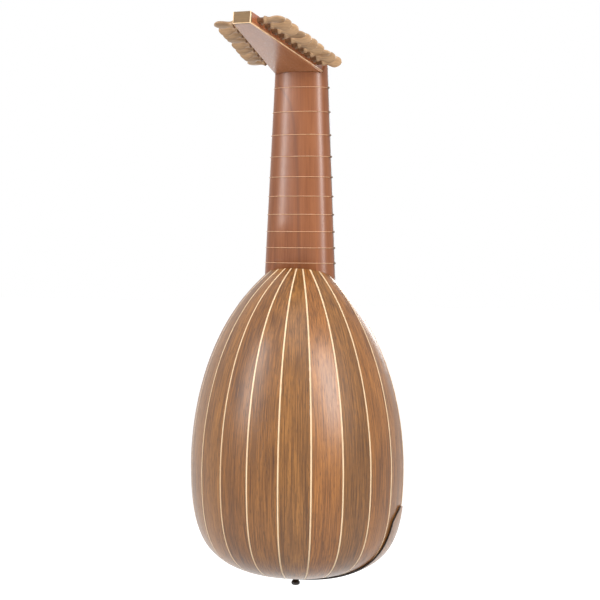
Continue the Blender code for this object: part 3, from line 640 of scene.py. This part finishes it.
# %% Spruce for the soundboard, bone for the nut
spruce = wood_material("spruce", (0.80, 0.57, 0.31), (0.66, 0.42, 0.20), streaks=0.3, pores=0.05,
                       gloss=0.5, coat=0.05)
add_growth_rings(spruce)
inner_spruce = wood_material("inner spruce", (0.74, 0.55, 0.32), (0.60, 0.42, 0.22), pores=0.1,
                             gloss=0.6, coat=0.0, along="X")
for name in ("soundboard", "rose"):
    give(frame["nodes"][name], spruce)
for name in ["neck_block", "end_block"] + [f"soundboard_bar_{number + 1}" for number in range(BARS)]:
    give(frame["nodes"][name], inner_spruce)

nut = rounded_copy("nut", levels=1)
bone = wood_material("bone", (0.86, 0.78, 0.62), (0.78, 0.68, 0.50), streaks=0.2, pores=0.1,
                     gloss=0.25, along="X")
give(nut, bone)
print("growth rings", RING_SPACING * MILLIMETRES, "mm apart;", BARS, "bars and two blocks inside")

# %% [markdown]
# ## The bridge
#
# The bridge is glued flat to the soundboard, and the strings are tied to it. Its solid already tapers to
# two thin tips. It could be cut from a block with bevels, but a rounded copy in plum wood is enough,
# because the bridge is as plain on a real lute.

# %% Bridge
bridge = rounded_copy("bridge", levels=2, sharp=35)
plum = wood_material("plum wood", (0.26, 0.105, 0.055), (0.12, 0.045, 0.025), streaks=0.5,
                     pores=0.3, gloss=0.35, along="X")
give(bridge, plum)
bridge_low, bridge_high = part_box("bridge")
print(f"bridge {(bridge_high.x - bridge_low.x) * MILLIMETRES:.0f} mm long")

# %% [markdown]
# ## The pegbox
#
# Two cheeks, a back plate and an end cap make a tapering trough. The plates are flat, so the solids stay.
# What the photograph shows besides is a thin pale edging, along the back plate's long edges and on the
# cap's lower and upright edges. It could be painted on, but a raised strip catches the light as the real
# one does. Each strip starts as a cube, which is stretched between two corners of the box and gets soft
# edges.

# %% Woods of the pegbox
plate_wood = wood_material("back plate wood", (0.56, 0.25, 0.115), (0.40, 0.155, 0.066), streaks=0.4,
                           pores=0.25, gloss=0.24, coat=0.35, along="Y", bump=0.00002)
cheek_wood = wood_material("cheek wood", (0.46, 0.165, 0.065), (0.30, 0.09, 0.035), streaks=0.4,
                           pores=0.3, gloss=0.28, along="Y")
olive = wood_material("olive wood", (0.225, 0.132, 0.052), (0.15, 0.085, 0.033), pores=0.4,
                      gloss=0.4, along="X")
give(frame["nodes"]["pegbox_back_plate"], plate_wood)
for name in ("bass_cheek", "treble_cheek"):
    give(frame["nodes"][name], cheek_wood)
give(frame["nodes"]["pegbox_end_cap"], olive)

# %% Edging strips
WIDE_EDGING = 0.0013
THIN_EDGING = 0.0008
EDGE_SOFTNESS = 0.2
CAP_HEIGHT = 0.0145
BOX_TILT = math.radians(8.2)
UP_FROM_PLATE = Vector((0, -math.sin(BOX_TILT), math.cos(BOX_TILT)))
POINTS_AT_END = 6

edging_wood = wood_material("pale edging", (0.93, 0.66, 0.40), (0.78, 0.50, 0.27), streaks=0.3,
                            pores=0.05, gloss=0.35)


def corner(node, x_side, far):
    """The lower corner of a flat piece of the pegbox, on one side, at its far or near end."""
    points = [vertex.co for vertex in frame["nodes"][node].data.vertices if vertex.co.x * x_side > 0]
    ends = sorted(points, key=lambda point: point.y if far else -point.y)[-POINTS_AT_END:]
    return min(ends, key=UP_FROM_PLATE.dot).copy()


def strip(name, start, end, wide):
    """A thin square bar from one point to another, with soft edges."""
    bpy.ops.object.select_all(action="DESELECT")
    bpy.ops.mesh.primitive_cube_add(size=1)
    bar = start_piece(name)
    along = end - start
    bar.scale = (wide, wide, along.length)
    bpy.ops.object.transform_apply(location=False, rotation=False, scale=True)
    soften_edges(bar, wide * EDGE_SOFTNESS)
    turn = along.to_track_quat("Z", "Y").to_matrix().to_4x4()
    settle(bar, Matrix.Translation((start + end) / 2) @ turn)
    give(bar, edging_wood)
    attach(bar, BODY)


tips = []
for side, sign, wide in (("bass", -1, WIDE_EDGING), ("treble", 1, THIN_EDGING)):
    root = corner("pegbox_back_plate", sign, far=False)
    tips.append(corner("pegbox_end_cap", sign, far=True))
    strip(f"{side}_plate_edging", root, tips[-1], wide)
    strip(f"{side}_cap_edging", tips[-1], tips[-1] + UP_FROM_PLATE * CAP_HEIGHT, wide)
strip("cap_lower_edging", tips[0], tips[1], THIN_EDGING)
print("edging strips are", WIDE_EDGING * MILLIMETRES, "and", THIN_EDGING * MILLIMETRES, "mm wide")

# %% [markdown]
# ## The pegs
#
# Nineteen pegs of pale boxwood pass through both cheeks. Their solids have the whole shape, a tapered
# shaft, a collar and a flat head, so a rounded copy is enough, and no peg is turned anew. Each rides on
# its own body, because a peg turns. The shaft between the collar and the cheek is painted darker: this is
# painted shade, for the shadow that the head and the cheek cast on it.

# %% Pegs
PEG_TONES = (1.0, 0.9, 1.06, 0.95, 1.08, 0.88, 1.02)
BOXWOOD_PALE = (0.56, 0.35, 0.185)
BOXWOOD_DEEP = (0.31, 0.19, 0.105)
DEEP_WARMTH = 1.03
# Painted shade on the peg shafts: where it starts, how it fades, how dark it is and its colour.
SHAFT_OUT = 0.0078
SHAFT_FADE = 0.001
SHAFT_SHADE_STRENGTH = 0.62
SHAFT_SHADE_COLOUR = (0.20, 0.10, 0.05)


def boxwood(number, cheek_face, side):
    """Boxwood with painted shade from the collar inwards, on a peg that points to one side."""
    tone = PEG_TONES[number % len(PEG_TONES)]
    pale = toned(BOXWOOD_PALE, tone, 1.0)
    deep = toned(BOXWOOD_DEEP, tone, DEEP_WARMTH)
    material = wood_material(f"boxwood {number + 1}", pale, deep, streaks=0.45, pores=0.3,
                             gloss=0.38, along="X")
    tree = material.node_tree
    shader = tree.nodes["Principled BSDF"]
    colour = shader.inputs["Base Color"].links[0].from_socket
    # Painted shade: the shaft is darkened from the collar to the cheek, where the head and the cheek
    # shade it.
    axes = axes_of(tree, object_place(tree))
    out = link_math(tree, "SUBTRACT", axes["X"], cheek_face)
    out = link_math(tree, "MULTIPLY", out, side)
    shaft = ranged(tree, out, SHAFT_OUT - SHAFT_FADE, SHAFT_OUT + SHAFT_FADE, SHAFT_SHADE_STRENGTH, 0.0)
    tree.links.new(mixed_colour(tree, shaft, colour, SHAFT_SHADE_COLOUR), shader.inputs["Base Color"])
    return material


for number, joint in enumerate(frame["joints"]):
    node = joint["name"].replace("_turn", "")
    side = joint["axis"][0]
    peg = rounded_copy(node, levels=2, sharp=50, body=joint["child"])
    give(peg, boxwood(number, joint["pos_m"][0], side))
print("pegs:", PEGS, "each with", len(peg.data.polygons), "faces")

# %% [markdown]
# ## Frets and their knots
#
# A lute's frets are loops of gut tied round the neck. The loops follow the solids, rounded to a cord.
# Each is tied at the bass edge with a small burnt knot. A knot that is truly tied would be smaller than a
# pixel in its detail, so it is modelled once from two leaning rings round a core, and copied to each
# fret.

# %% Frets
GUT_SHADE = 0.72
GUT_TWIST = 900


def gut_material(name, colour):
    """Twisted gut: slightly see-through, with a fine change of tone and shine."""
    material = bpy.data.materials.new(name)
    material.use_nodes = True
    tree = material.node_tree
    shader = tree.nodes["Principled BSDF"]
    place = object_place(tree)
    twist = stretched_noise(tree, place, scale=(GUT_TWIST, GUT_TWIST, GUT_TWIST), detail=2)
    darker = tuple(value * GUT_SHADE for value in colour)
    tone = mixed_colour(tree, ranged(tree, twist, 0.3, 0.7), darker, colour)
    tree.links.new(tone, shader.inputs["Base Color"])
    tree.links.new(ranged(tree, twist, 0.3, 0.7, 0.28, 0.40), shader.inputs["Roughness"])
    shader.inputs["Subsurface Weight"].default_value = 0.15
    shader.inputs["Subsurface Radius"].default_value = (0.002, 0.001, 0.0005)
    return material


fret_gut = gut_material("fret gut", (0.74, 0.42, 0.24))
knot_gut = gut_material("knot gut", (0.20, 0.12, 0.07))
for number in range(1, FRETS + 1):
    give(rounded_copy(f"fret_{number:02d}", levels=2, sharp=100), fret_gut)

# %% Knots
KNOT_RING = 0.0010
KNOT_GUT = 0.00045
KNOT_CORE = 0.0009
KNOT_BACK = 0.006
KNOT_OUT = 0.0003
KNOT_LEAN = 0.5


def model_knot():
    """Two leaning rings side by side, with a round core between them, joined to one piece."""
    parts = []
    for shift in (-1, 1):
        bpy.ops.object.select_all(action="DESELECT")
        bpy.ops.mesh.primitive_torus_add(major_radius=KNOT_RING, minor_radius=KNOT_GUT,
                                         major_segments=16, minor_segments=8,
                                         rotation=(0, QUARTER, shift * KNOT_LEAN))
        ring = settle(start_piece(f"knot_ring_{shift}"))
        ring.data.transform(Matrix.Translation((shift * KNOT_GUT, shift * KNOT_GUT, 0)))
        parts.append(ring)
    bpy.ops.object.select_all(action="DESELECT")
    bpy.ops.mesh.primitive_uv_sphere_add(radius=KNOT_CORE, segments=12, ring_count=8)
    parts.append(settle(start_piece("knot_core")))
    for part in parts:
        part.select_set(True)
    bpy.context.view_layer.objects.active = parts[0]
    bpy.ops.object.join()
    bpy.ops.object.shade_smooth()
    return bpy.context.object


# %% One knot for each fret
knot_model = model_knot()
for number in range(1, FRETS + 1):
    low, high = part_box(f"fret_{number:02d}")
    knot = bpy.data.objects.new(f"fret_knot_{number:02d}", knot_model.data.copy())
    bpy.context.scene.collection.objects.link(knot)
    place = (low.x - KNOT_OUT, BOARD_Y + KNOT_BACK, (low.z + high.z) / 2)
    knot.data.transform(Matrix.Translation(place))
    give(knot, knot_gut)
    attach(knot, BODY)
bpy.data.objects.remove(knot_model)
print("frets and knots:", FRETS)

# %% [markdown]
# ## The end button
#
# The button is turned from a dark wood on a lathe, and a strap or a ribbon is tied round it. The solid
# has its profile already, so only the facets of the turning need to be rounded off.

# %% End button
button = rounded_copy("end_button", levels=2, sharp=60)
turned_ebony = wood_material("turned ebony", (0.045, 0.03, 0.024), (0.014, 0.01, 0.009), gloss=0.25)
give(button, turned_ebony)
print("end button:", len(button.data.polygons), "faces")

# %% [markdown]
# ## The strings
#
# The solid for the strings is one stiff comb. Here it is replaced by nineteen round gut strings, thick in
# the bass and thin in the treble, which run from the bridge over the nut to their pegs. A string could be
# a long cylinder, but a curve with a round section bends over the nut and is then made a mesh. The turns
# on a peg are a helix that belongs to the peg's body and turns with it. They are wound outwards, so that
# they stay clear of the strings that pass by.

# %% Where the strings run
ACTION = 0.0058
BRIDGE_BAND = 0.0645
BRIDGE_PAIR = 0.0048
NUT_BAND = 0.0318
NUT_PAIR = 0.0030
COURSES = 10
THICKEST = 0.00055
THINNEST = 0.00024
BASS_SHARE = 0.35


def places_across(half_band, pair):
    """Where the strings lie across the lute: nine pairs and, last, the single treble string."""
    step = 2 * half_band / (COURSES - 1)
    places = []
    for course in range(COURSES - 1):
        middle = -half_band + course * step
        places += [middle - pair / 2, middle + pair / 2]
    return places + [half_band]


def tube(name, points, radius, material):
    """A round string along points, made a mesh so that its place is in its shape."""
    curve = bpy.data.curves.new(name, "CURVE")
    curve.dimensions = "3D"
    curve.bevel_depth = radius
    curve.bevel_resolution = 1
    curve.use_fill_caps = True
    spline = curve.splines.new("POLY")
    spline.points.add(len(points) - 1)
    for place, point in zip(spline.points, points):
        place.co = (*point, 1)
    piece = bpy.data.objects.new(name, curve)
    bpy.context.scene.collection.objects.link(piece)
    only(piece)
    bpy.ops.object.convert(target="MESH")
    bpy.ops.object.shade_smooth()
    piece = bpy.context.object
    give(piece, material)
    return piece


# %% The path of a string and of its turns on the peg
SHAFT_RADIUS = 0.0035
CHEEK_THICKNESS = 0.0042
CROWDING = 0.74
CLEARANCE = 0.0002
NUT_ROUNDING = 0.0012
TIED_BELOW_EDGE = 0.001
TURNS = 4
POINTS_PER_TURN = 14
TURN_PITCH = 2.15

nut_low, nut_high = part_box("nut")


def string_path(x_bridge, x_nut, start_of_turns, radius):
    """From the bridge, over the nut's front and top, to where the turns on the peg start."""
    front = nut_low.y - radius - CLEARANCE
    over = nut_high.z + radius + CLEARANCE
    return [
        Vector((x_bridge, BOARD_Y - ACTION, bridge_high.z - TIED_BELOW_EDGE)),
        Vector((x_nut, front, nut_low.z)),
        Vector((x_nut, front, nut_high.z)),
        Vector((x_nut, nut_low.y + NUT_ROUNDING, over)),
        Vector((x_nut, nut_high.y, over)),
        start_of_turns,
    ]


def winding_path(x_peg, axis, reach, radius):
    """A helix round the peg, from the string outwards to the nearer cheek."""
    outwards = 1 if x_peg > 0 else -1
    path = []
    for step in range(TURNS * POINTS_PER_TURN + 1):
        turned = step / POINTS_PER_TURN
        angle = 2 * math.pi * turned + BOX_TILT
        x = x_peg + outwards * TURN_PITCH * radius * turned
        path.append(Vector((x, axis.y - reach * math.sin(angle), axis.z + reach * math.cos(angle))))
    return path


# %% Strings and windings
gut = gut_material("string gut", (0.90, 0.80, 0.60))
bass_gut = gut_material("bass string gut", (0.46, 0.24, 0.13))
bass_pegs = [joint for joint in frame["joints"] if joint["axis"][0] < 0]
treble_pegs = [joint for joint in frame["joints"] if joint["axis"][0] > 0]
bass_pegs.sort(key=lambda joint: joint["pos_m"][1])
treble_pegs.sort(key=lambda joint: -joint["pos_m"][1])
at_bridge = places_across(BRIDGE_BAND, BRIDGE_PAIR)
at_nut = places_across(NUT_BAND, NUT_PAIR)
for number, joint in enumerate(bass_pegs + treble_pegs):
    share = number / (PEGS - 1)
    radius = THICKEST + (THINNEST - THICKEST) * share
    material = bass_gut if share < BASS_SHARE else gut
    axis = Vector(joint["pos_m"])
    room = (abs(axis.x) - CHEEK_THICKNESS) / NUT_BAND
    x_peg = at_nut[number] * min(room * CROWDING, 1.0)
    reach = SHAFT_RADIUS + radius
    start_of_turns = Vector((x_peg, axis.y, axis.z)) + UP_FROM_PLATE * reach
    path = string_path(at_bridge[number], at_nut[number], start_of_turns, radius)
    string = tube(f"string_{number + 1:02d}", path, radius, material)
    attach(string, BODY)
    if number == 0:
        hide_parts("strings")
    path = winding_path(x_peg, axis, reach, radius)
    winding = tube(f"winding_{number + 1:02d}", path, radius, material)
    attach(winding, joint["child"])
print("strings:", PEGS, "of", round((NUT_Z - bridge_high.z) * MILLIMETRES), "mm from nut to bridge")

# %% [markdown]
# ## The rose
#
# A rose is cut through the soundboard as a pattern of bands. The solid has the openings. Raised rings are
# laid on it here: three round the middle, six halfway out and twelve near the rim, as the bands of a
# simple old pattern lie. A picture would look flat, and truly woven bands would be far finer than can be
# seen.

# %% Rose rings
BAND_RADIUS = 0.0007
BAND_SHARE = 0.99
ROUND_THE_MIDDLE = (0.20, 0.985, 0.90)
CIRCLES_OF_RINGS = ((6, 0.36, 0.20), (12, 0.66, 0.19))

rose_low, rose_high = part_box("rose")
rose_centre = (rose_low + rose_high) / 2
rose_radius = (rose_high.x - rose_low.x) / 2
rings = [(0.0, 0.0, size) for size in ROUND_THE_MIDDLE]
for count, distance, size in CIRCLES_OF_RINGS:
    rings += [(2 * math.pi * number / count, distance, size) for number in range(count)]
bands = []
for angle, distance, size in rings:
    x = rose_centre.x + math.sin(angle) * distance * rose_radius
    z = rose_centre.z + math.cos(angle) * distance * rose_radius
    bpy.ops.object.select_all(action="DESELECT")
    bpy.ops.mesh.primitive_torus_add(location=(x, rose_low.y, z), rotation=(QUARTER, 0, 0),
                                     major_radius=size * rose_radius * BAND_SHARE,
                                     minor_radius=BAND_RADIUS, major_segments=40, minor_segments=6)
    bands.append(settle(start_piece("rose_band")))

# %% Join the rings to one piece
only(bands[0])
for band in bands:
    band.select_set(True)
bpy.ops.object.join()
rose_bands = start_piece("rose_bands")
bpy.ops.object.shade_smooth()
rose_wood = wood_material("carved spruce", (0.66, 0.42, 0.20), (0.50, 0.29, 0.13), pores=0.1,
                          gloss=0.5, coat=0.05)
give(rose_bands, rose_wood)
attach(rose_bands, BODY)
print("rose bands:", len(rings))

# %% [markdown]
# ## Floor, backdrop and light
#
# The photograph has a plain white ground. The floor is pale and wide, and the world is white where the
# camera or a reflection sees it, but weaker as a lamp. More light would also turn the ground white, but
# it would bleach the wood. Two large soft lamps left and right of the camera give the two soft bands of
# shine on the bowl and the neck. A third lights them from above, and a fourth lights the soundboard on
# the other side.

# %% Floor
FLOOR_DROP = 0.35
FLOOR_SIZE = 30
FLOOR_GREY = (0.5, 0.5, 0.5, 1)
FLOOR_GLOW = 0.85


def seen_directly(tree):
    """1 for the rays of the camera, of a reflection or through glass, and 0 for the light itself."""
    path = tree.nodes.new("ShaderNodeLightPath")
    seen = link_math(tree, "MAXIMUM", path.outputs["Is Camera Ray"], path.outputs["Is Glossy Ray"])
    return link_math(tree, "MAXIMUM", seen, path.outputs["Is Transmission Ray"])


bpy.ops.object.select_all(action="DESELECT")
bpy.ops.mesh.primitive_plane_add(size=FLOOR_SIZE, location=(0, 0, cad_box[0].z - FLOOR_DROP))
floor = start_piece("floor")
floor_paint = bpy.data.materials.new("pale floor")
floor_paint.use_nodes = True
tree = floor_paint.node_tree
shader = tree.nodes["Principled BSDF"]
shader.inputs["Base Color"].default_value = FLOOR_GREY
shader.inputs["Roughness"].default_value = 0.9
glow = tree.nodes.new("ShaderNodeEmission")
both = tree.nodes.new("ShaderNodeAddShader")
glow_seen = link_math(tree, "MULTIPLY", seen_directly(tree), FLOOR_GLOW)
tree.links.new(glow_seen, glow.inputs["Strength"])
tree.links.new(shader.outputs[0], both.inputs[0])
tree.links.new(glow.outputs[0], both.inputs[1])
tree.links.new(both.outputs[0], tree.nodes["Material Output"].inputs["Surface"])
floor.data.materials.append(floor_paint)
print("floor", FLOOR_DROP, "m below the lute")

# %% World
WORLD_STRENGTH = 0.30
world = bpy.data.worlds.new("studio")
world.use_nodes = True
bpy.context.scene.world = world
tree = world.node_tree
background = tree.nodes["Background"]
strength = ranged(tree, seen_directly(tree), 0.0, 1.0, WORLD_STRENGTH, 1.0)
tree.links.new(strength, background.inputs["Strength"])
background.inputs["Color"].default_value = (1, 1, 1, 1)
print("the world lights the lute at", WORLD_STRENGTH)

# %% Lamps
BOWL_DEPTH_MIDDLE = 0.05
bowl_middle = Vector((0, BOARD_Y + BOWL_DEPTH_MIDDLE, (JOINT_Z + END_Z) / 2))


def soft_lamp(name, turn, distance, height, size, power):
    """A large soft lamp: its turn is counted from the camera, its height from the bowl's middle."""
    angle = VIEW_AZIMUTH + math.radians(turn)
    offset = Vector((math.sin(angle) * distance, -math.cos(angle) * distance, height))
    place = bowl_middle + offset
    bpy.ops.object.light_add(type="AREA", location=place)
    lamp = bpy.context.object
    lamp.name = name
    lamp.data.shape = "RECTANGLE"
    lamp.data.size = size[0]
    lamp.data.size_y = size[1]
    lamp.data.energy = power
    lamp.rotation_mode = "QUATERNION"
    lamp.rotation_quaternion = (-offset).to_track_quat("-Z", "Y")
    print(name, "of", power, "watts")


soft_lamp("left_lamp", turn=-58, distance=1.6, height=0.75, size=(0.35, 1.1), power=21)
soft_lamp("right_lamp", turn=38, distance=1.6, height=0.75, size=(0.35, 1.1), power=26)
soft_lamp("top_lamp", turn=-10, distance=1.2, height=1.9, size=(1.2, 1.2), power=9)
soft_lamp("front_lamp", turn=165, distance=1.8, height=0.5, size=(1.2, 1.2), power=26)
bpy.context.scene.view_settings.view_transform = "Standard"

# %% [markdown]
# ## Sizes
#
# The dressed lute may not be larger than its solids by more than a little. The box round the solids,
# kept from the start, is printed.

# %% Sizes
print("solids:", [tuple(corner_point) for corner_point in cad_box])
